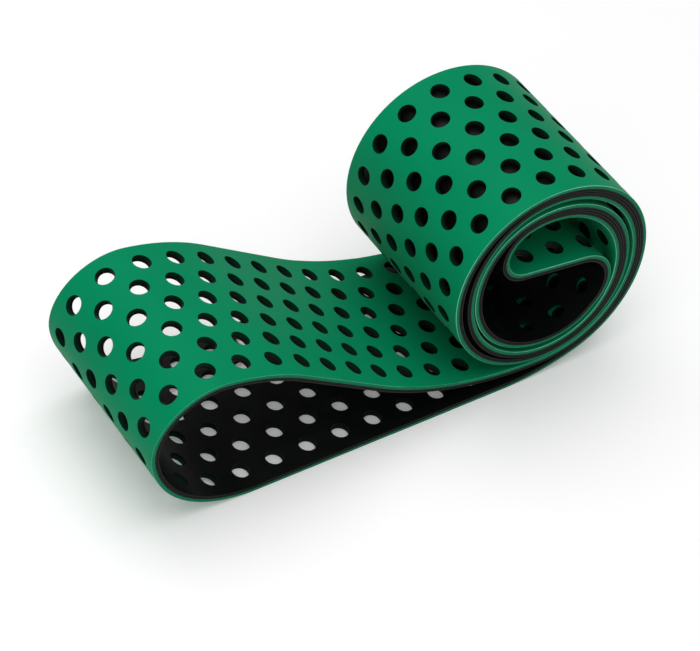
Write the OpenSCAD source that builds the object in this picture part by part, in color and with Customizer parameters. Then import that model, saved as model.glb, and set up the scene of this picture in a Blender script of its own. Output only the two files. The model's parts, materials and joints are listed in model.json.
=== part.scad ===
/* [Belt] */
// Width of the belt
belt_w = 85; // [60:1:120]
// Thickness of the green elastomer cover
cover_t = 1.6; // [0.8:0.1:2.4]
// Thickness of the dark tie rubber under the cover
tie_t = 0.3; // [0.2:0.1:0.6]
// Thickness of the woven tension ply
weave_t = 1.1; // [0.6:0.1:1.6]
// Thickness of the black running coat
coat_t = 0.4; // [0.2:0.1:0.8]

/* [Perforation] */
// Diameter of a perforation
hole_d = 8; // [4:0.5:10]
// Distance between perforations of one row, along the belt
hole_pitch = 17; // [14:0.5:24]
// Least land between a perforation and the belt's edge
edge_land = 5; // [3:0.5:12]
// Distance between neighbouring rows
row_gap = 13; // [11:0.5:16]
// Shift of the whole pattern along the belt
hole_shift = 5; // [0:0.5:17]

/* [Coil] */
// Mean radius of the oval coil, at its outer turn
coil_r = 56.5; // [50:0.5:70]
// How much the coil's long half axis exceeds the mean
coil_stretch = 4.9; // [0:0.1:6]
// Direction of the coil's long axis, from the floor
coil_lean = 126.5; // [110:0.5:140]
// Air between neighbouring turns
turn_gap = 0.5; // [0.4:0.05:1]
// Extra slack between the strands on the coil's left and in its core
slack = 2.2; // [1:0.1:3]
// Turn over which the outer strand climbs from the floor to the coil
lift_turn = 24; // [16:1:40]
// Height of the wedge of air under the coil, between the two strands
wedge = 4.2; // [2:0.1:6]

/* [Core] */
// Turn at which the outer strand leaves the coil for the core
tip_from = 775; // [770:1:790]
// Straight stretch before the coil's inner end
tip_run = 4; // [0:0.5:5]
// Direction of the tongue between the inner end and the fold
tongue_dir = 893; // [885:1:900]
// Radius of the fold where the tongue turns back
fold_r = 15; // [12:0.5:18]
// Turn at which the inner strand leaves the fold for the coil
fold_to = 560; // [545:1:575]

/* [Loop] */
// Radius of the sweep from under the coil up to the loop's back
sweep_r = 175; // [150:5:200]
// Slope of the loop's back
back_slope = 32; // [26:1:36]
// Radius of the loop's crest
crest_r = 105; // [80:5:120]
// Turn over the crest
crest_turn = 23; // [15:1:30]
// Radius of the loop's nose
nose_r = 27.5; // [24:0.5:32]
// Turn round the nose
nose_turn = 112; // [100:1:120]
// Radius under the nose
belly_r = 52.5; // [45:0.5:60]
// Turn under the nose
belly_turn = 57; // [50:1:64]
// Radius of the landing on the floor
landing_r = 64; // [50:1:80]

/* [Flexing] */
// Distance of the first flex line from the coil's lowest point
flex_start = 26; // [22:0.5:30]
// Width of the slit that stands for a flex line
flex_slit = 0.8; // [0.5:0.1:1.5]

/* [Hidden] */

green = "#0b8a5c";
dark = "#151515";
grey = "#55504c";
black = "#0c0d0e";

// The route is the line between cover and tie rubber, in the X-Z plane, walked
// once round the belt with the green cover on the right hand.
under_t = tie_t + weave_t + coat_t;
lap_pitch = 2 * (cover_t + under_t + turn_gap);
strand_pitch = 2 * under_t + turn_gap;

function heading_to(a) = [cos(a), sin(a)];
function inside_of(a) = [-sin(a), cos(a)];
function bend(h, r, turn) =
    r * sign(turn) * [sin(h + turn) - sin(h), cos(h) - cos(h + turn)];
// The route is walked in chords that lie this far inside its arcs at most.
chord_sag = 0.01;
function chord_turn(r) = 2 * acos(1 - chord_sag / r);
function ease(x) = let (t = min(max(x, 0), 1)) t * t * (3 - 2 * t);
function swell(x) = abs(x) < 90 ? pow(cos(x), 2) : 0;

// Coil: an oval spiral, given by its reach from the centre along the normal.
// A strand's turn is 0 at the coil's lowest point and grows anticlockwise.
function oval(turn) = coil_r + coil_stretch * cos(2 * (turn - 90 - coil_lean));
function wound(turn) = lap_pitch * turn / 360 + slack * ease((turn - 360) / 180);
function outer_reach(turn) =
    oval(turn) - wound(turn) + wedge * pow(max(0, 1 - turn / lift_turn), 2);
function inner_reach(turn) =
    oval(turn) - wound(turn) - strand_pitch - slack * swell(turn - 270);
function reach(strand, turn) = strand == "outer" ? outer_reach(turn) : inner_reach(turn);
function reach_rate(strand, turn) =
    (reach(strand, turn + 0.5) - reach(strand, turn - 0.5)) * 180 / PI;
centre_z = cover_t + outer_reach(0);
function on_coil(strand, turn) =
    [0, centre_z] - reach(strand, turn) * inside_of(turn)
    + reach_rate(strand, turn) * heading_to(turn);

// Core: the inner end's radius and the tongue's length close the route there.
core_start = on_coil("outer", tip_from);
tip_start = core_start + tip_run * heading_to(tip_from);
fold_turn = fold_to + 180 - tongue_dir;
core_rest = on_coil("inner", fold_to) - tip_start - bend(tongue_dir, fold_r, fold_turn);
tip_turn = tongue_dir - tip_from;
tip_bend = bend(tip_from, 1, tip_turn);
tongue_way = heading_to(tongue_dir);
tip_r = cross(core_rest, tongue_way) / cross(tip_bend, tongue_way);
tongue_run = cross(tip_bend, core_rest) / cross(tip_bend, tongue_way);

// Loop: the back's length brings the nose down to the floor.
sweep_dir = 180 - back_slope;
nose_dir = sweep_dir + crest_turn;
belly_dir = nose_dir + nose_turn;
landing_dir = belly_dir + belly_turn;
landing_turn = 360 - landing_dir;
sweep_start = on_coil("inner", 0);
sweep_end = sweep_start + bend(180, sweep_r, -back_slope);
loop_drop = bend(sweep_dir, crest_r, crest_turn) + bend(nose_dir, nose_r, nose_turn)
    + bend(belly_dir, belly_r, belly_turn) + bend(landing_dir, landing_r, landing_turn);
back_run = (cover_t - sweep_end[1] - loop_drop[1]) / sin(sweep_dir);
crest_start = sweep_end + back_run * heading_to(sweep_dir);
floor_start = crest_start + loop_drop;

// Each entry of the route is [x, z, heading].
function entry(p, h) = [p[0], p[1], h];
function place(entry) = [entry[0], entry[1]];
function last(list) = list[len(list) - 1];
function span(from, to, most) =
    let (n = ceil(abs(to - from) / most)) [for (i = [0:n]) from + (to - from) * i / n];
function arc(p, h, r, turn) =
    [for (a = span(0, turn, chord_turn(r))) entry(p + bend(h, r, a), h + a)];

outer_turns = [for (a = span(0, tip_from, chord_turn(coil_r))) entry(on_coil("outer", a), a)];
tip = arc(tip_start, tip_from, tip_r, tip_turn);
fold_start = place(last(tip)) + tongue_run * heading_to(tongue_dir);
fold = arc(fold_start, tongue_dir, fold_r, fold_turn);
inner_turns = [for (a = span(fold_to, 0, chord_turn(coil_r))) entry(on_coil("inner", a), a + 180)];
sweep = arc(sweep_start, 180, sweep_r, -back_slope);
crest = arc(crest_start, sweep_dir, crest_r, crest_turn);
nose = arc(place(last(crest)), nose_dir, nose_r, nose_turn);
belly = arc(place(last(nose)), belly_dir, belly_r, belly_turn);
landing = arc(place(last(belly)), landing_dir, landing_r, landing_turn);
before_sweep = concat([entry(floor_start, 0)], outer_turns, tip, fold, inner_turns);
whole_way = concat(before_sweep, sweep, crest, nose, belly, landing);

// Arcs that meet repeat their common point, which the route holds once.
function stride(list, i) = i == 0 ? 0 : norm(place(list[i]) - place(list[i - 1]));
route = [
    for (i = [0:len(whole_way) - 1]) if (i == 0 || stride(whole_way, i) > 0.001) whole_way[i]
];

// Runs: how far along the route each point lies. The track goes round twice, so
// that a strip can pass the route's start.
points = len(route);
strides = [for (i = [0:points]) i < points ? stride(route, i) : 0];
runs = [for (i = 0, run = 0; i < points; i = i + 1, run = run + strides[i]) run];
belt_run = last(runs);
track = [
    for (lap = [0, 1], i = [0:points - 1])
        [runs[i] + lap * belt_run, route[i][0], route[i][1], route[i][2] + lap * 360]
];
track_x = [for (mark = track) [mark[0], mark[1]]];
track_z = [for (mark = track) [mark[0], mark[2]]];
track_turn = [for (mark = track) [mark[0], mark[3]]];
function at_run(run) = [lookup(run, track_x), lookup(run, track_z), lookup(run, track_turn)];
function beside(entry, offset) = place(entry) + offset * inside_of(entry[2]);

// Stations of the perforation lie half a pitch apart. The rows take turns, so
// neighbouring rows are staggered.
stations = 2 * round(belt_run / hole_pitch);
half_pitch = belt_run / stations;
function station_run(k) = hole_shift + k * half_pitch;
function nearest_station(run) = round((run - hole_shift) / half_pitch);
hole_rows = floor((belt_w - 2 * edge_land - hole_d) / row_gap) + 1;
function turn_over(from, to) = lookup(to, track_turn) - lookup(from, track_turn);

// The belt's faces are flat facets. Each bends only between two stations, and in
// tight bends at the stations too.
facet_turn = 10;
function facets(k) =
    max(1, ceil(abs(turn_over(station_run(k - 0.5), station_run(k + 0.5))) / facet_turn));
function facet_runs(k) = [
    for (i = [0:facets(k) - 1]) let (run = station_run(k - 0.5 + i / facets(k)))
        if (abs(turn_over(run - half_pitch, run + half_pitch)) > 0.01) run
];

// A drill passes the ply's faces by a little, and on the hollow side of a bend by
// its bow as well. The side is 1 towards the inside of the belt.
drill_spare = 0.08;
function drill_past(k, side) =
    let (run = station_run(k), reach = max(hole_d, half_pitch) / 2)
    let (bent = max(0, side * turn_over(run - reach, run), side * turn_over(run, run + reach)))
    drill_spare + reach * tan(bent / 2);

// Flex lines cross the belt at stations: in the top strand in front of the coil,
// and in the bottom strand right below.
flex_lines = 4;
flex_steps = 2;
function arc_run(r, turn) = r * turn * PI / 180;
loop_run = arc_run(sweep_r, back_slope) + back_run + arc_run(crest_r, crest_turn)
    + arc_run(nose_r, nose_turn) + arc_run(belly_r, belly_turn)
    + arc_run(landing_r, landing_turn);
flex_top = [
    for (i = [0:flex_lines - 1])
        nearest_station(belt_run - loop_run + flex_start) + i * flex_steps
];
flex_below = nearest_station(at_run(station_run(flex_top[0]))[0] - floor_start[0]);
flex_floor = [for (i = [0:flex_lines - 1]) flex_below - i * flex_steps];
function past(k) = station_run(k) + flex_slit / 2;
function short_of(k) = station_run(k) - flex_slit / 2;
coil_strips = [[past(flex_floor[0]), short_of(flex_top[0])]];
function link_strips(i) = [
    [past(flex_floor[i + 1]), short_of(flex_floor[i])],
    [past(flex_top[i]), short_of(flex_top[i + 1])]
];
loop_strips = [
    [past(flex_top[flex_lines - 1]), belt_run + short_of(flex_floor[flex_lines - 1])]
];

// The origin lies on the floor in the middle of the bounding box.
cover_x = [for (p = route) beside(p, -cover_t)[0]];
middle_x = (min(cover_x) + max(cover_x)) / 2;

// Plies, as offsets from the route towards the inside of the belt.
cover = [-cover_t, 0];
tie = [0, tie_t];
weave = [tie_t, tie_t + weave_t];
coat = [tie_t + weave_t, under_t];

module ribbon(strip, ply) {
    first = nearest_station(strip[0]);
    final = nearest_station(strip[1]);
    course = concat(
        [at_run(strip[0])],
        [for (k = [first + 1:final], run = facet_runs(k)) at_run(run)],
        [at_run(strip[1])]
    );
    ends = len(course) - 1;
    rotate([90, 0, 0])
        linear_extrude(height = belt_w, center = true)
            polygon(concat(
                [for (p = course) beside(p, ply[0])],
                [for (i = [ends:-1:0]) beside(course[i], ply[1])]
            ));
}

// One line of perforations, in every second row.
module perforations(k, ply) {
    p = at_run(station_run(k));
    from = ply[0] - drill_past(k, -1);
    to = ply[1] + drill_past(k, 1);
    for (row = [k % 2:2:hole_rows - 1])
        translate([p[0], ((hole_rows - 1) / 2 - row) * row_gap, p[1]])
            rotate([0, -p[2], 0])
                translate([0, 0, from])
                    cylinder(h = to - from, d = hole_d, $fn = 48);
}

module layer(strips, ply) {
    translate([-middle_x, 0, 0])
        for (strip = strips)
            difference() {
                ribbon(strip, ply);
                for (k = [nearest_station(strip[0]):nearest_station(strip[1])])
                    perforations(k, ply);
            }
}

module coil_cover() { color(green) layer(coil_strips, cover); }
module coil_tie_rubber() { color(dark) layer(coil_strips, tie); }
module coil_tension_ply() { color(grey) layer(coil_strips, weave); }
module coil_running_coat() { color(black) layer(coil_strips, coat); }
module flex_a_cover() { color(green) layer(link_strips(0), cover); }
module flex_a_tie_rubber() { color(dark) layer(link_strips(0), tie); }
module flex_a_tension_ply() { color(grey) layer(link_strips(0), weave); }
module flex_a_running_coat() { color(black) layer(link_strips(0), coat); }
module flex_b_cover() { color(green) layer(link_strips(1), cover); }
module flex_b_tie_rubber() { color(dark) layer(link_strips(1), tie); }
module flex_b_tension_ply() { color(grey) layer(link_strips(1), weave); }
module flex_b_running_coat() { color(black) layer(link_strips(1), coat); }
module flex_c_cover() { color(green) layer(link_strips(2), cover); }
module flex_c_tie_rubber() { color(dark) layer(link_strips(2), tie); }
module flex_c_tension_ply() { color(grey) layer(link_strips(2), weave); }
module flex_c_running_coat() { color(black) layer(link_strips(2), coat); }
module loop_cover() { color(green) layer(loop_strips, cover); }
module loop_tie_rubber() { color(dark) layer(loop_strips, tie); }
module loop_tension_ply() { color(grey) layer(loop_strips, weave); }
module loop_running_coat() { color(black) layer(loop_strips, coat); }

coil_cover();
coil_tie_rubber();
coil_tension_ply();
coil_running_coat();
flex_a_cover();
flex_a_tie_rubber();
flex_a_tension_ply();
flex_a_running_coat();
flex_b_cover();
flex_b_tie_rubber();
flex_b_tension_ply();
flex_b_running_coat();
flex_c_cover();
flex_c_tie_rubber();
flex_c_tension_ply();
flex_c_running_coat();
loop_cover();
loop_tie_rubber();
loop_tension_ply();
loop_running_coat();
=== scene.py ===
import json
import math

import bpy
import numpy as np
from mathutils import Matrix, Vector


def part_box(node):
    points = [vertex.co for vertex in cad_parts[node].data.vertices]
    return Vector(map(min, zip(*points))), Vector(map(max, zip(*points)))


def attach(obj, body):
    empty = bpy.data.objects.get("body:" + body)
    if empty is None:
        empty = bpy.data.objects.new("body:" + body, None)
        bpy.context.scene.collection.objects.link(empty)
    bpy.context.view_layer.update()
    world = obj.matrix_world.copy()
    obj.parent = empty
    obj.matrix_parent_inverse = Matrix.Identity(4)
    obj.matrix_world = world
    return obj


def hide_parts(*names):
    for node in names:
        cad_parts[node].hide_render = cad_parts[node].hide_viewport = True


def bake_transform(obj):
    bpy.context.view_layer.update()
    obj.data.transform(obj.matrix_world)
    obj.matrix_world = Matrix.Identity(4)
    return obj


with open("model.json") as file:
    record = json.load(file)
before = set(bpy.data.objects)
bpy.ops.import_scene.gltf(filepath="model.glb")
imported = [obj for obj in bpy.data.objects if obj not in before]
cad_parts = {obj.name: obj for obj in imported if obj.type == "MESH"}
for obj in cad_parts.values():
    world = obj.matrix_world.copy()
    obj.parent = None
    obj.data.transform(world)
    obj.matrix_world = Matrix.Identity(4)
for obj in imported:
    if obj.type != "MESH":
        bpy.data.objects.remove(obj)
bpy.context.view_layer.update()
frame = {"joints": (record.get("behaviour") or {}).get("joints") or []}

# ---------------------------------------------------------------------------
# The lie of the belt
# An endless laminated belt, pressed flat and rolled up from one end, with one
# loop left open. Its line is the bond under the green cover, walked once round
# the belt with the cover on the right hand.
# ---------------------------------------------------------------------------
MM = 0.001
belt_low, belt_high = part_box("coil_cover")
belt_w = belt_high.y - belt_low.y
cover_t, tie_t, weave_t, coat_t = 1.6 * MM, 0.3 * MM, 1.1 * MM, 0.4 * MM
under_t = tie_t + weave_t + coat_t

# The oval coil: its mean radius, how much longer one way, and which way, in
# degrees; the air between its turns, and the slack that the inner ones take up.
coil_r, coil_stretch, coil_lean = 56.5 * MM, 4.9 * MM, 126.5
turn_gap, slack = 0.5 * MM, 2.2 * MM
# The outer strand comes off the floor along a low wedge.
lift_turn, wedge = 24, 4.2 * MM
# The turn at which the outer strand leaves the coil for the tip, the straight
# run before it, the tongue's heading, and the fold that meets the inner strand.
tip_from, tip_run, tongue_dir, fold_r, fold_to = 775, 4 * MM, 893, 15 * MM, 560
# The bends of the open loop, from the coil over its crest to the floor.
sweep_r, back_slope = 175 * MM, 32
crest_r, crest_turn = 105 * MM, 23
nose_r, nose_turn = 27.5 * MM, 112
belly_r, belly_turn = 52.5 * MM, 57
landing_r = 64 * MM
turn_step = 0.5


def heading_to(a):
    """Unit steps along headings, in degrees, in the belt's side view."""
    return np.stack([np.cos(np.radians(a)), np.sin(np.radians(a))], -1)


def inside_of(a):
    """Unit steps square to headings, from the cover towards the running face."""
    return np.stack([-np.sin(np.radians(a)), np.cos(np.radians(a))], -1)


def arc(start, heading, r, turn):
    """Points and headings along an arc; a negative turn bends to the right."""
    a = heading + np.linspace(0, turn, math.ceil(abs(turn) / turn_step) + 1)
    centre = np.asarray(start) + r * np.sign(turn) * inside_of(heading)
    return centre - r * np.sign(turn) * inside_of(a), a


def winding(turn):
    """How far the oval coil has closed in towards its core after this turn."""
    later = np.clip((turn - 360) / 180, 0, 1)
    return 2 * (cover_t + under_t + turn_gap) * turn / 360 + slack * later**2 * (3 - 2 * later)


def reach(strand, turn):
    """From the coil's middle out to the flat of a strand, after this turn."""
    oval = coil_r + coil_stretch * np.cos(np.radians(2 * (turn - 90 - coil_lean)))
    if strand == "outer":
        return oval - winding(turn) + wedge * np.maximum(0, 1 - turn / lift_turn) ** 2
    swell = np.where(abs(turn - 270) < 90, np.cos(np.radians(turn - 270)) ** 2, 0)
    return oval - winding(turn) - (2 * under_t + turn_gap) - slack * swell


def coil(strand, start, end):
    """Points and headings of a strand in the coil, between two turns."""
    turn = np.linspace(start, end, round(abs(end - start) / turn_step) + 1)
    either_way = turn_step
    closing = (reach(strand, turn + either_way) - reach(strand, turn - either_way)) / (2 * either_way)
    rate = closing * 180 / math.pi
    centre = np.array([0, cover_t + reach("outer", np.array(0.0))])
    points = centre - reach(strand, turn)[:, None] * inside_of(turn) + rate[:, None] * heading_to(turn)
    return points, turn if strand == "outer" else turn + 180


def chain(start, heading, *arcs):
    """Arcs that follow on from each other."""
    parts = []
    for r, turn in arcs:
        parts.append(arc(start, heading, r, turn))
        start, heading = parts[-1][0][-1], heading + turn
    return parts


# The coil's inner end: its radius and the tongue's length close the line there.
outer_turns = coil("outer", 0, tip_from)
inner_turns = coil("inner", fold_to, 0)
tip_start = outer_turns[0][-1] + tip_run * heading_to(tip_from)
fold_turn = fold_to + 180 - tongue_dir
fold_bend = arc((0, 0), tongue_dir, fold_r, fold_turn)[0][-1]
tip_bend = arc((0, 0), tip_from, 1, tongue_dir - tip_from)[0][-1]
tip_r, tongue_run = np.linalg.solve(
    np.stack([tip_bend, heading_to(tongue_dir)], -1), inner_turns[0][0] - tip_start - fold_bend
)
tip = arc(tip_start, tip_from, tip_r, tongue_dir - tip_from)
fold = arc(tip[0][-1] + tongue_run * heading_to(tongue_dir), tongue_dir, fold_r, fold_turn)

# The open loop: its back is as long as brings the belly down to the floor.
sweep = arc(inner_turns[0][-1], 180, sweep_r, -back_slope)
back_dir = 180 - back_slope
landing_turn = 360 - back_dir - crest_turn - nose_turn - belly_turn
loop_arcs = [(crest_r, crest_turn), (nose_r, nose_turn), (belly_r, belly_turn), (landing_r, landing_turn)]
drop = chain(np.zeros(2), back_dir, *loop_arcs)[-1][0][-1][1]
back_run = (cover_t - sweep[0][-1][1] - drop) / math.sin(math.radians(back_dir))
loop = chain(sweep[0][-1] + back_run * heading_to(back_dir), back_dir, *loop_arcs)
floor_start = (loop[-1][0][-1][None], np.zeros(1))

parts = [floor_start, outer_turns, tip, fold, inner_turns, sweep, *loop]
line = np.concatenate([p for p, a in parts])
heading = np.concatenate([a for p, a in parts])
one_point = 0.0001 * MM
kept = np.append(True, np.linalg.norm(np.diff(line, axis=0), axis=1) > one_point)
line, heading = line[kept], heading[kept]
cover_x = (line - cover_t * inside_of(heading))[:, 0]
line[:, 0] -= (cover_x.min() + cover_x.max()) / 2
run = np.append(0, np.cumsum(np.linalg.norm(np.diff(line, axis=0), axis=1)))
belt_run = run[-1]


def along(u):
    """The line's point and heading at a run, also past its start and end."""
    lap = np.floor(u / belt_run)
    u = u - lap * belt_run
    x, z = np.interp(u, run, line[:, 0]), np.interp(u, run, line[:, 1])
    return np.stack([x, z], -1), np.interp(u, run, heading)


# Perforation: six rows of holes, staggered by half a pitch.
hole_d, hole_pitch, hole_shift, row_gap, rows = 8 * MM, 17 * MM, 5 * MM, 13 * MM, 6
pitches = round(belt_run / hole_pitch)
pitch = belt_run / pitches

# Each bend in front of the coil reaches from the middle of one link to the
# middle of the next, and the pieces are cut there, in both strands.
hinges = [Vector(j["pos_m"]) for j in frame["joints"]]
links = ["coil"] + [j["child"] for j in frame["joints"]]
half_link = (hinges[0].x - hinges[1].x) / 2
cuts = [hinges[0].x + half_link]
cuts += [(a.x + b.x) / 2 for a, b in zip(hinges, hinges[1:])]
cuts += [hinges[-1].x - half_link]
top_reach = 350 * MM
top_part = (run > belt_run - top_reach) & (heading > back_dir - 1) & (heading <= 180)


def top_run(x):
    """How far round the belt the upper strand passes over this place."""
    return float(np.interp(-x, -line[top_part, 0], run[top_part]))


def floor_run(x):
    """The same for the strand that lies on the floor."""
    return x - line[0, 0]


places = {"coil": [(floor_run(cuts[0]), top_run(cuts[0]))]}
for name, x0, x1 in zip(("bend_a", "bend_b", "bend_c", "bend_d"), cuts, cuts[1:]):
    places[name] = [(floor_run(x1), floor_run(x0)), (top_run(x0), top_run(x1))]
places["loop"] = [(top_run(cuts[-1]), belt_run + floor_run(cuts[-1]))]

# ---------------------------------------------------------------------------
# The perforated sheet
# The flat laminate, slit to width and punched through all its plies in one
# stroke, so that they share one pattern of holes between two plain margins.
# A hole is bridged to its cell, and the cells are repeated round the belt.
# ---------------------------------------------------------------------------
cell_u, cell_v = 8, 4  # faces along and across a cell, and so the sides of its hole
cell_middle = 0.49  # share of a cell, each way from its hole, that is cut out of it
spare_before, spare_after = 2, 6  # pitches past the belt's start and end, for strips across its seam
one_place = 0.01 * MM


def only(obj):
    """Selects this object and nothing else."""
    bpy.ops.object.select_all(action="DESELECT")
    obj.select_set(True)
    bpy.context.view_layer.objects.active = obj


def copy_of(obj, name):
    """A copy with a mesh of its own."""
    only(obj)
    bpy.ops.object.duplicate()
    bpy.context.object.name = bpy.context.object.data.name = name
    return bpy.context.object


def join(objs):
    only(objs[0])
    for obj in objs:
        obj.select_set(True)
    bpy.ops.object.join()
    return objs[0]


def pick(obj, domain, chosen):
    """Selects vertices, edges or polygons, and nothing else in the mesh."""
    for items in (obj.data.vertices, obj.data.edges, obj.data.polygons):
        items.foreach_set("select", np.zeros(len(items), bool))
    getattr(obj.data, domain).foreach_set("select", np.asarray(chosen, bool))


def read(items, name, width, kind=float):
    """One value of every vertex, edge, corner or face, as rows."""
    values = np.empty(len(items) * width, kind)
    items.foreach_get(name, values)
    return values.reshape(-1, width) if width > 1 else values


def edit(obj, mode="VERT"):
    only(obj)
    bpy.ops.object.mode_set(mode="EDIT")
    bpy.ops.mesh.select_mode(type=mode)


def leave_edit():
    bpy.ops.object.mode_set(mode="OBJECT")


def apply_modifier(obj, kind, **values):
    m = obj.modifiers.new(kind.lower(), kind)
    for key, value in values.items():
        setattr(m, key, value)
    only(obj)
    bpy.ops.object.modifier_apply(modifier=m.name)


def repeat(obj, count, step):
    """Copies in a row, joined where they meet."""
    apply_modifier(
        obj, "ARRAY", count=count, use_relative_offset=False, use_constant_offset=True,
        constant_offset_displace=step, use_merge_vertices=True, merge_threshold=one_place,
    )


bpy.ops.object.select_all(action="DESELECT")
bpy.ops.mesh.primitive_grid_add(x_subdivisions=cell_u, y_subdivisions=cell_v, size=1)
sheet = bpy.context.object
sheet.scale = (pitch, row_gap, 1)
bpy.ops.object.transform_apply(location=True, rotation=False, scale=True)
p = read(sheet.data.vertices, "co", 3)
pick(sheet, "vertices", (abs(p[:, 0]) < pitch * cell_middle) & (abs(p[:, 1]) < row_gap * cell_middle))
edit(sheet)
bpy.ops.mesh.delete(type="VERT")
bpy.ops.mesh.select_all(action="SELECT")
bpy.ops.mesh.primitive_circle_add(vertices=2 * (cell_u + cell_v), radius=hole_d / 2)
bpy.ops.mesh.select_all(action="SELECT")
bpy.ops.mesh.bridge_edge_loops()
bpy.ops.mesh.normals_make_consistent(inside=False)
leave_edit()
if sheet.data.polygons[0].normal.z < 0:
    sheet.data.flip_normals()
sheet.data.transform(Matrix.Translation((hole_shift, (rows - 1) / 2 * row_gap, 0)))
other = copy_of(sheet, "other_row")
other.data.transform(Matrix.Translation((pitch / 2, -row_gap, 0)))
sheet = join([sheet, other])
repeat(sheet, rows // 2, (0, -2 * row_gap, 0))
repeat(sheet, spare_before + pitches + spare_after, (pitch, 0, 0))
sheet.data.transform(Matrix.Translation((-spare_before * pitch, 0, 0)))
edit(sheet)
bpy.ops.mesh.select_all(action="SELECT")
bpy.ops.mesh.remove_doubles(threshold=one_place)
leave_edit()
margin = (belt_w - rows * row_gap) / 2
for side in (1, -1):
    p, e = read(sheet.data.vertices, "co", 3), read(sheet.data.edges, "vertices", 2, int)
    pick(sheet, "edges", (side * p[:, 1] > rows / 2 * row_gap - one_place)[e].all(1))
    edit(sheet, "EDGE")
    bpy.ops.mesh.extrude_edges_move(TRANSFORM_OT_translate={"value": (0, side * margin, 0)})
    leave_edit()


def strip(start, end):
    """The stretch of flat sheet between two runs."""
    obj = copy_of(sheet, "strip")
    for at, after in ((start, True), (end, False)):
        edit(obj)
        bpy.ops.mesh.select_all(action="SELECT")
        bpy.ops.mesh.bisect(
            plane_co=(at, 0, 0), plane_no=(1, 0, 0), clear_inner=after, clear_outer=not after,
            threshold=0.001 * MM,
        )
        leave_edit()
    return obj


flat = {name: join([strip(*ends) for ends in stretches]) for name, stretches in places.items()}


# How far a cut wall's normal, and a broken rim's, may point out of the sheet; the
# angle, in degrees, from which an edge stays sharp; how deep a rim may be broken.
wall_lean, rim_lean, sharp_from = 0.5, 0.9, 30
deepest_rim = 0.3 * MM


def ply(place, name, low, high, rim=0):
    """A piece of one ply, low to high from the bond, laid along the belt; rim breaks its low face's edges."""
    obj = copy_of(flat[place], f"{name}_{place}")
    apply_modifier(obj, "SOLIDIFY", thickness=high - low, offset=1)
    obj.data.transform(Matrix.Translation((0, 0, low)))
    if rim:
        ends, cut = np.ravel(places[place]), set()
        for face in obj.data.polygons:
            if abs(face.normal.z) < wall_lean and abs(face.center.x - ends).min() > one_place:
                cut.update(tuple(sorted(k)) for k in face.edge_keys)
        p, e = read(obj.data.vertices, "co", 3), read(obj.data.edges, "vertices", 2, int)
        on_low = (p[e][:, :, 2] < low + 0.1 * one_place).all(1)
        pick(obj, "edges", [on and tuple(sorted(k)) in cut for on, k in zip(on_low, e.tolist())])
        edit(obj, "EDGE")
        bpy.ops.mesh.bevel(offset=rim, segments=1, affect="EDGES", clamp_overlap=True)
        leave_edit()
    only(obj)
    bpy.ops.object.shade_smooth_by_angle(angle=math.radians(sharp_from))
    mesh = obj.data
    p = read(mesh.vertices, "co", 3)
    normal = read(mesh.corner_normals, "vector", 3)
    corner = read(mesh.loops, "vertex_index", 1, int)
    facing = read(mesh.polygons, "normal", 3)
    mesh.attributes.new("lay_flat", "FLOAT_VECTOR", "POINT").data.foreach_set("vector", p.ravel())
    middle = read(mesh.polygons, "center", 3)
    wall = abs(facing[:, 2]) < rim_lean
    trimmed = wall & (abs(middle[:, 1]) > belt_w / 2 - deepest_rim)
    broken = wall & (abs(facing[:, 2]) > wall_lean)
    for mask, faces in (("trimmed", trimmed), ("punched", wall & ~trimmed), ("rim", broken)):
        mesh.attributes.new(mask, "FLOAT", "FACE").data.foreach_set("value", faces.astype(float))
    at, turned = along(p[:, 0])
    bent = at + p[:, 2:] * inside_of(turned)
    mesh.vertices.foreach_set("co", np.stack([bent[:, 0], p[:, 1], bent[:, 1]], -1).ravel())
    turned = turned[corner]
    bent = normal[:, :1] * heading_to(turned) + normal[:, 2:] * inside_of(turned)
    mesh.normals_split_custom_set(np.stack([bent[:, 0], normal[:, 1], bent[:, 1]], -1))
    mesh.update()
    return obj


def mount(obj, place, layer):
    """Rides with the coil's or the loop's body, or stays where it is laid in a bend, and stands for their
    solids of this layer.
    """
    if place in ("coil", "loop"):
        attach(obj, place)
        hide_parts(f"{place}_{layer}")
        return
    i = "abcd".index(place[-1])
    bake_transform(obj)
    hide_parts(*(f"{b}_{layer}" for b in links[i:i + 2] if b.startswith("flex")))


# ---------------------------------------------------------------------------
# Green cover
# The conveying side: a smooth, matt green elastomer 1.6 mm thick, calendered on
# to the fabric. Along its two long edges the slitting knife's broken rim is
# painted lighter as a highlight, and the walls of the punched holes are painted dark as shade.
# ---------------------------------------------------------------------------
def node(tree, kind, values=(), **settings):
    """A shader node; a value that is a socket is linked, and any other is set."""
    n = tree.nodes.new(kind)
    for key, value in settings.items():
        setattr(n, key, value)
    for key, value in dict(values).items():
        if isinstance(value, bpy.types.NodeSocket):
            tree.links.new(value, n.inputs[key])
        else:
            n.inputs[key].default_value = value
    return n


def effect(name, inputs, outputs):
    """An empty shader node group with named sockets; returns its tree, its inputs and its output node."""
    tree = bpy.data.node_groups.new(name, "ShaderNodeTree")
    for socket, kind in inputs.items():
        tree.interface.new_socket(socket, in_out="INPUT", socket_type=kind)
    for socket, kind in outputs.items():
        tree.interface.new_socket(socket, in_out="OUTPUT", socket_type=kind)
    return tree, tree.nodes.new("NodeGroupInput").outputs, tree.nodes.new("NodeGroupOutput").inputs


def use(tree, group, **values):
    """The outputs of an effect placed in a material."""
    return node(tree, "ShaderNodeGroup", values, node_tree=group).outputs


def new_material(name, **principled):
    """A material, its tree and a function that wires outputs to its Principled shader."""
    mat = bpy.data.materials.new(name)
    mat.use_nodes = True
    inputs = mat.node_tree.nodes["Principled BSDF"].inputs
    for key, value in principled.items():
        inputs[key.replace("_", " ")].default_value = value

    def wire(**outputs):
        for key, output in outputs.items():
            mat.node_tree.links.new(output, inputs[key.replace("_", " ")])

    return mat, mat.node_tree, wire


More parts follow.
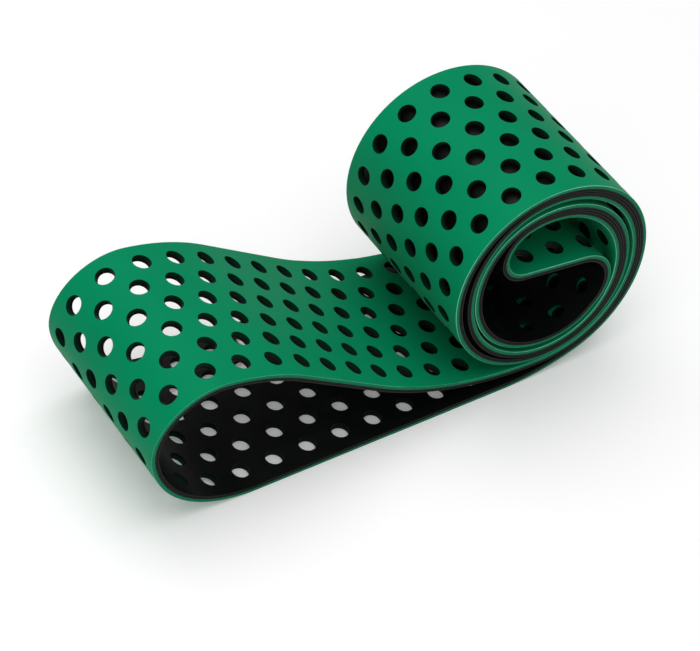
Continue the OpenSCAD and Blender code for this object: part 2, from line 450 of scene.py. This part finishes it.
def srgb(r, g, b):
    """A colour as it looks, from 0 to 255, in the shader's own measure."""
    return (*(((c / 255 + 0.055) / 1.055) ** 2.4 if c > 10 else c / 255 / 12.92 for c in (r, g, b)), 1)


def mixed(tree, amount, a, b):
    """Colour a, and colour b where the amount is 1."""
    return node(tree, "ShaderNodeMix", {"Factor": amount, "A": a, "B": b}, data_type="RGBA").outputs["Result"]


def noise(tree, at, scale, detail=2):
    return node(tree, "ShaderNodeTexNoise", {"Vector": at, "Scale": scale, "Detail": detail}).outputs["Fac"]


def between(tree, value, low, high, from_low=0.0, from_high=1.0):
    """Low to high as the value goes from its own low to its own high."""
    sizes = {"Value": value, "From Min": from_low, "From Max": from_high, "To Min": low, "To Max": high}
    return node(tree, "ShaderNodeMapRange", sizes).outputs["Result"]


def bumped(tree, height, strength, distance):
    values = {"Height": height, "Strength": strength, "Distance": distance}
    return node(tree, "ShaderNodeBump", values).outputs["Normal"]


def calculated(tree, kind, *values):
    """One sum of up to three values."""
    return node(tree, "ShaderNodeMath", dict(enumerate(values)), operation=kind).outputs["Value"]


# Where a point lies on the flat belt, and whether a knife or the punch cut it.
cut_faces = {"Trimmed": "trimmed", "Punched": "punched", "Rim": "rim"}
on_belt, _, out = effect(
    "place_on_belt", {}, {"Flat": "NodeSocketVector", **{name: "NodeSocketFloat" for name in cut_faces}}
)
flat_at = node(on_belt, "ShaderNodeAttribute", attribute_name="lay_flat").outputs["Vector"]
on_belt.links.new(flat_at, out["Flat"])
for name, attribute in cut_faces.items():
    mask = node(on_belt, "ShaderNodeAttribute", attribute_name=attribute).outputs["Fac"]
    on_belt.links.new(mask, out[name])

# Painted highlight: the broken rim along the slit edges is coloured pale mint, strongest on the stretch that
# lies rolled up, and in patches.
highlight_middle, highlight_reach, highlight_fades, weak_highlight = 750 * MM, 460 * MM, 150 * MM, 0.25
broken_rim = 0.2 * MM
face_green, face_light = srgb(1, 130, 87), srgb(4, 140, 94)
# Next: the dark green painted as shade on the hole walls, and the dimmer end of the painted highlight on the
# slit edge's rim.
hole_shade_green, dim_edge_highlight = srgb(1, 40, 28), srgb(20, 146, 102)
slit_green, slit_light = srgb(8, 98, 68), srgb(22, 136, 96)
# Colours of the painted highlight on the broken rim of the slit edges.
edge_highlight_green, edge_highlight_light = srgb(90, 196, 154), srgb(156, 224, 198)

green_rubber, tree, wire = new_material(
    "green_rubber", Specular_IOR_Level=0.03, Sheen_Weight=0.02, Sheen_Roughness=0.4
)
belt = use(tree, on_belt)
patches = noise(tree, belt["Flat"], scale=35, detail=3)
grain = noise(tree, belt["Flat"], scale=3500)
streaks = noise(tree, belt["Flat"], scale=900)
face = mixed(tree, patches, face_green, face_light)
# Painted shade: the walls of the punched holes are coloured dark green.
face_and_hole_shade = mixed(tree, belt["Punched"], face, hole_shade_green)
slit = mixed(tree, belt["Trimmed"], face_and_hole_shade, mixed(tree, streaks, slit_green, slit_light))
# Painted highlight: pale mint on the slit edge's broken rim, in patches, weaker away from the rolled-up
# stretch.
edge_highlight = mixed(tree, streaks, edge_highlight_green, edge_highlight_light)
comes_and_goes = noise(tree, belt["Flat"], scale=22, detail=3)
highlight_patches = between(tree, comes_and_goes, 0.4, 1, from_low=0.38, from_high=0.58)
run_at = node(tree, "ShaderNodeSeparateXYZ", {"Vector": belt["Flat"]}).outputs["X"]
from_middle = calculated(tree, "ABSOLUTE", calculated(tree, "SUBTRACT", run_at, highlight_middle))
highlight_on_coil = between(tree, from_middle, 1, weak_highlight, from_low=highlight_reach, from_high=highlight_reach + highlight_fades)
edge_highlight_amount = calculated(tree, "MULTIPLY", highlight_patches, highlight_on_coil)
highlit_knife_edge = calculated(tree, "MULTIPLY", belt["Rim"], belt["Trimmed"])
# The base colour carries the painted shade in the holes and the painted highlight along the slit edges.
wire(
    Base_Color=mixed(tree, highlit_knife_edge, slit, mixed(tree, edge_highlight_amount, dim_edge_highlight, edge_highlight)),
    Roughness=between(tree, patches, 0.42, 0.54),
    Normal=bumped(tree, grain, strength=0.25, distance=0.08 * MM),
)

for place in places:
    obj = ply(place, "green_cover", -cover_t, 0, rim=broken_rim)
    obj.data.materials.append(green_rubber)
    mount(obj, place, "cover")

# ---------------------------------------------------------------------------
# Tie rubber
# A 0.3 mm skim of black rubber that bonds the cover to the fabric. Only a dark
# line of it shows on the long edges and in the holes.
# ---------------------------------------------------------------------------
tie_rubber, tree, wire = new_material("tie_rubber", Specular_IOR_Level=0.1)
belt = use(tree, on_belt)
streaks = noise(tree, belt["Flat"], scale=1200)
tie_black, tie_grey = srgb(10, 18, 16), srgb(24, 36, 32)
wire(
    Base_Color=mixed(tree, streaks, tie_black, tie_grey),
    Roughness=between(tree, streaks, 0.5, 0.7),
    Normal=bumped(tree, streaks, strength=0.3, distance=0.05 * MM),
)

for place in places:
    obj = ply(place, "tie_layer", 0, tie_t)
    obj.data.materials.append(tie_rubber)
    mount(obj, place, "tie_rubber")

# ---------------------------------------------------------------------------
# Woven ply
# The polyester fabric, 1.1 mm thick, that carries the pull, bonded between the
# rubbers. Its cut yarn ends show as dark grey dots, darker still towards the
# inner side, where the black coating has soaked in; in the holes it is painted black as shade.
# ---------------------------------------------------------------------------
woven, tree, wire = new_material("woven_polyester", Roughness=0.8, Specular_IOR_Level=0.1)
belt = use(tree, on_belt)
cut_yarns_per_m = 1100
yarn_grey, yarn_gap, soaked_black = srgb(44, 48, 44), srgb(12, 15, 13), srgb(15, 17, 16)
soaks_from, soaks_to = tie_t + 0.35 * weave_t, tie_t + 0.75 * weave_t
yarn_cells = node(tree, "ShaderNodeTexVoronoi", {"Vector": belt["Flat"], "Scale": cut_yarns_per_m})
yarn_ends = yarn_cells.outputs["Distance"]
depth = node(tree, "ShaderNodeSeparateXYZ", {"Vector": belt["Flat"]}).outputs["Z"]
soaked = between(tree, depth, 0, 1, from_low=soaks_from, from_high=soaks_to)
yarns = mixed(tree, yarn_ends, yarn_grey, yarn_gap)
# Black where the coating has soaked in towards the inner side, and painted shade on the hole walls.
soaked_and_hole_shade = calculated(tree, "MAXIMUM", soaked, belt["Punched"])
standing = between(tree, yarn_ends, 1, 0)
wire(
    Base_Color=mixed(tree, soaked_and_hole_shade, yarns, soaked_black),
    Normal=bumped(tree, standing, strength=0.5, distance=0.15 * MM),
)

for place in places:
    obj = ply(place, "woven_ply", tie_t, tie_t + weave_t)
    obj.data.materials.append(woven)
    mount(obj, place, "tension_ply")

# ---------------------------------------------------------------------------
# Black coat
# The running side: a black coating 0.4 mm thick, pressed into the fabric while
# soft, so a trace of the weave shows through its satin face.
# ---------------------------------------------------------------------------
weave_print, given, out = effect(
    "weave_print",
    {"Flat": "NodeSocketVector", "Pitch": "NodeSocketFloat"},
    {"Height": "NodeSocketFloat"},
)
waves_per_m = calculated(weave_print, "DIVIDE", 2 * math.pi, given["Pitch"])
waves = node(weave_print, "ShaderNodeVectorMath", {0: given["Flat"]}, operation="SCALE")
weave_print.links.new(waves_per_m, waves.inputs["Scale"])
axes = node(weave_print, "ShaderNodeSeparateXYZ", {"Vector": waves.outputs["Vector"]}).outputs
warp, weft = (calculated(weave_print, "SINE", axes[axis]) for axis in "XY")
weave_print.links.new(calculated(weave_print, "MULTIPLY", warp, weft), out["Height"])

weave_pitch, relief_share = 1.2 * MM, 0.3
coat_black, coat_grey = srgb(8, 11, 10), srgb(14, 17, 15)
black_coat, tree, wire = new_material("black_coat", Specular_IOR_Level=0.14)
belt = use(tree, on_belt)
grain = noise(tree, belt["Flat"], scale=2200)
patches = noise(tree, belt["Flat"], scale=60, detail=3)
relief = use(tree, weave_print, Flat=belt["Flat"], Pitch=weave_pitch)["Height"]
pressed = calculated(tree, "MULTIPLY_ADD", relief, relief_share, grain)
wire(
    Base_Color=mixed(tree, patches, coat_black, coat_grey),
    Roughness=between(tree, patches, 0.3, 0.42),
    Normal=bumped(tree, pressed, strength=0.4, distance=0.06 * MM),
)

for place in places:
    obj = ply(place, "black_lining", tie_t + weave_t, under_t)
    obj.data.materials.append(black_coat)
    mount(obj, place, "running_coat")

# The flat sheet has served its purpose.
for obj in [sheet, *flat.values()]:
    bpy.data.objects.remove(obj)

# ---------------------------------------------------------------------------
# Floor, light and camera
# A plain pale studio floor, seamless and matt, with two soft boxes over it: a
# broad one overhead and a weak one from the side of the open loop. The camera
# stands high in front of the belt, on a long lens.
# ---------------------------------------------------------------------------
white, floor_white = (1, 1, 1, 1), (0.95, 0.95, 0.95, 1)
floor_size, floor_glow = 6, 0.145
sky_strength = 0.4
key_at, key_size, key_power = (-0.15, 0.1, 1.4), (1.7, 1.4), 14.5
fill_at, fill_size, fill_power = (-1.0, -0.7, 0.7), 1.0, 2.4
camera_at = (-0.53167, -0.60172, 0.83732)
camera_looks, camera_up = (0.46735, 0.52755, -0.70942), (0.3155, 0.65008, 0.69127)
lens, sensor, nearest = 134.32, 36, 10 * MM

bpy.ops.object.select_all(action="DESELECT")
bpy.ops.mesh.primitive_plane_add(size=floor_size)
floor = bpy.context.object
floor.name = "floor"
pale, tree, wire = new_material(
    "pale_floor", Base_Color=floor_white, Roughness=0.5, Specular_IOR_Level=0.3, Emission_Color=white
)
seen = node(tree, "ShaderNodeLightPath").outputs["Is Camera Ray"]
wire(Emission_Strength=between(tree, seen, 0, floor_glow))
floor.data.materials.append(pale)

studio = bpy.data.worlds.new("studio")
bpy.context.scene.world = studio
studio.use_nodes = True
sky = studio.node_tree.nodes["Background"].inputs
sky["Color"].default_value = white
sky["Strength"].default_value = sky_strength


def soft_box(at, power):
    """A square area light that faces the middle of the floor."""
    bpy.ops.object.light_add(type="AREA", location=at)
    box = bpy.context.object
    box.data.energy = power
    box.rotation_euler = (-box.location).to_track_quat("-Z", "Y").to_euler()
    return box


key = soft_box(key_at, key_power)
key.data.shape = "RECTANGLE"
key.data.size, key.data.size_y = key_size
fill = soft_box(fill_at, fill_power)
fill.data.size = fill_size

bpy.ops.object.camera_add(location=camera_at)
camera = bpy.context.object
view, up = Vector(camera_looks), Vector(camera_up)
right = view.cross(up)
camera.rotation_euler = Matrix((right, up, -view)).transposed().to_euler()
camera.data.lens, camera.data.sensor_width, camera.data.clip_start = lens, sensor, nearest
bpy.context.scene.camera = camera
bpy.context.scene.view_settings.view_transform = "Standard"
